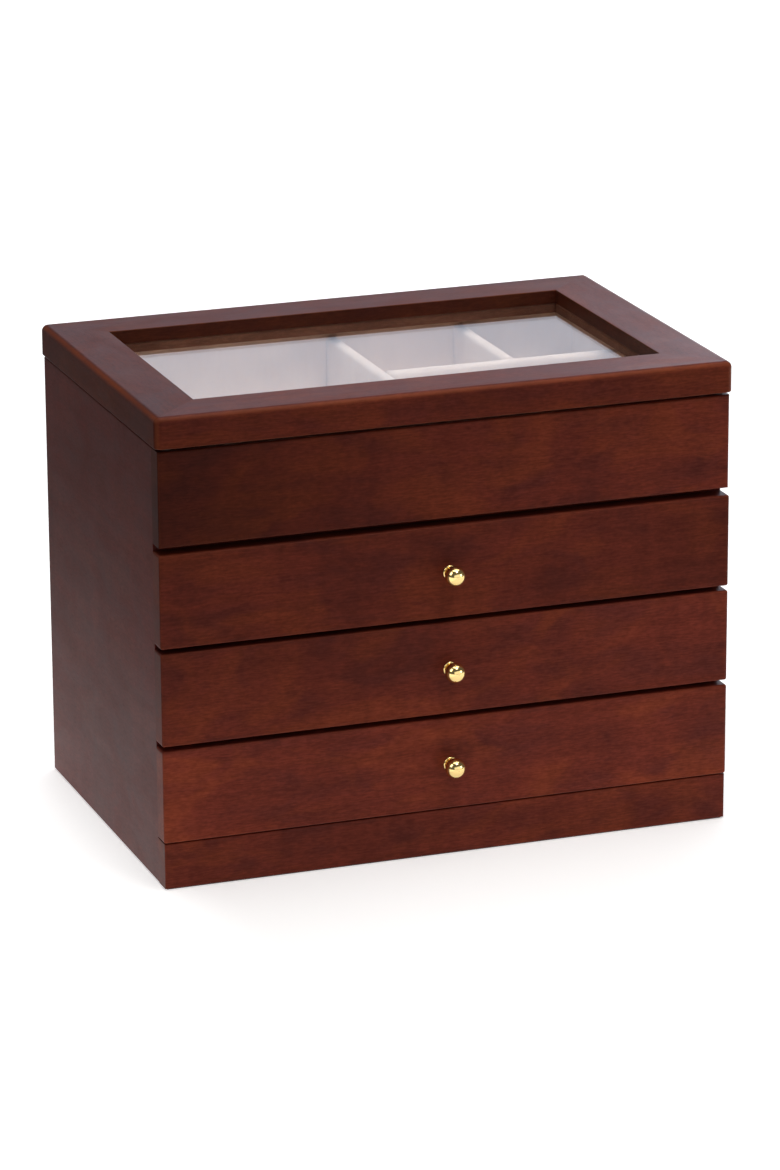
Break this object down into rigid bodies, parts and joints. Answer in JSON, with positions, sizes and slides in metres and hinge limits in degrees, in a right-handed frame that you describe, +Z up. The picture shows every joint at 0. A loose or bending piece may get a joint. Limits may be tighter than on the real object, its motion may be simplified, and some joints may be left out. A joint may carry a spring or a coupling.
{
  "type": "jewelry chest",
  "caption": "Table-top wooden jewelry chest with a hinged glass-window lid over a fabric-lined, divided tray and lined drawers with brass ball knobs.",
  "frame": {"origin": "centre of the base, on the surface that the chest stands on", "axes": "+X to the right as seen from the front, +Y from the drawer fronts to the back, +Z up"},
  "size_m": [0.2562, 0.1821, 0.2051],
  "materials": {
    "stained_wood": "red-brown cherry stain under satin lacquer",
    "drawer_wood": "stained hardwood, matte lacquer",
    "plain_wood": "plain sanded board",
    "velour": "short cream pile",
    "felt": "thin dark felt",
    "window_glass": "clear flat glass",
    "polished_brass": "polished",
    "hinge_brass": "satin plated",
    "screw_steel": "plated, satin",
    "bumper_rubber": "soft matte"
  },
  "bodies": {
    "case": {"side_panel_left": "stained_wood", "side_panel_right": "stained_wood", "back_panel": "stained_wood", "base_board": "plain_wood", "base_felt": "felt", "plinth_front": "stained_wood", "tray_front_panel": "stained_wood", "shelf_bottom": "plain_wood", "shelf_lower": "plain_wood", "shelf_upper": "plain_wood", "tray_floor": "plain_wood", "tray_lining_floor": "velour", "tray_lining_walls": "velour", "tray_divider_centre": "velour", "tray_divider_cross": "velour", "tray_divider_short": "velour", "hinge_leaf_case_left": "hinge_brass", "hinge_leaf_case_right": "hinge_brass", "hinge_pin_left": "hinge_brass", "hinge_pin_right": "hinge_brass", "hinge_screws_case": "hinge_brass"},
    "lid": {"lid_rail_front": "stained_wood", "lid_rail_right": "stained_wood", "lid_rail_back": "stained_wood", "lid_rail_left": "stained_wood", "lid_glass": "window_glass", "lid_glass_beads": "stained_wood", "lid_bumpers": "bumper_rubber", "hinge_leaf_lid_left": "hinge_brass", "hinge_leaf_lid_right": "hinge_brass", "hinge_screws_lid": "hinge_brass"},
    "bottom_drawer": {"bottom_drawer_front": "stained_wood", "bottom_drawer_side_left": "drawer_wood", "bottom_drawer_side_right": "drawer_wood", "bottom_drawer_back": "drawer_wood", "bottom_drawer_bottom": "plain_wood", "bottom_drawer_lining": "velour", "bottom_drawer_knob": "polished_brass", "bottom_drawer_knob_screw": "screw_steel"},
    "middle_drawer": {"middle_drawer_front": "stained_wood", "middle_drawer_side_left": "drawer_wood", "middle_drawer_side_right": "drawer_wood", "middle_drawer_back": "drawer_wood", "middle_drawer_bottom": "plain_wood", "middle_drawer_lining": "velour", "middle_drawer_knob": "polished_brass", "middle_drawer_knob_screw": "screw_steel", "middle_drawer_dividers": "velour"},
    "top_drawer": {"top_drawer_front": "stained_wood", "top_drawer_side_left": "drawer_wood", "top_drawer_side_right": "drawer_wood", "top_drawer_back": "drawer_wood", "top_drawer_bottom": "plain_wood", "top_drawer_lining": "velour", "top_drawer_knob": "polished_brass", "top_drawer_knob_screw": "screw_steel", "top_drawer_divider": "velour", "top_drawer_ring_rolls": "velour"}
  },
  "joints": [
    {"name": "lid_hinge", "type": "hinge", "parent": "case", "child": "lid", "pos_m": [0, 0.0858, 0.191], "axis": [-1, 0, 0], "range_deg": [0, 95]},
    {"name": "bottom_drawer_slide", "type": "slide", "parent": "case", "child": "bottom_drawer", "axis": [0, -1, 0], "range_m": [0, 0.115]},
    {"name": "middle_drawer_slide", "type": "slide", "parent": "case", "child": "middle_drawer", "axis": [0, -1, 0], "range_m": [0, 0.115]},
    {"name": "top_drawer_slide", "type": "slide", "parent": "case", "child": "top_drawer", "axis": [0, -1, 0], "range_m": [0, 0.115]}
  ]
}
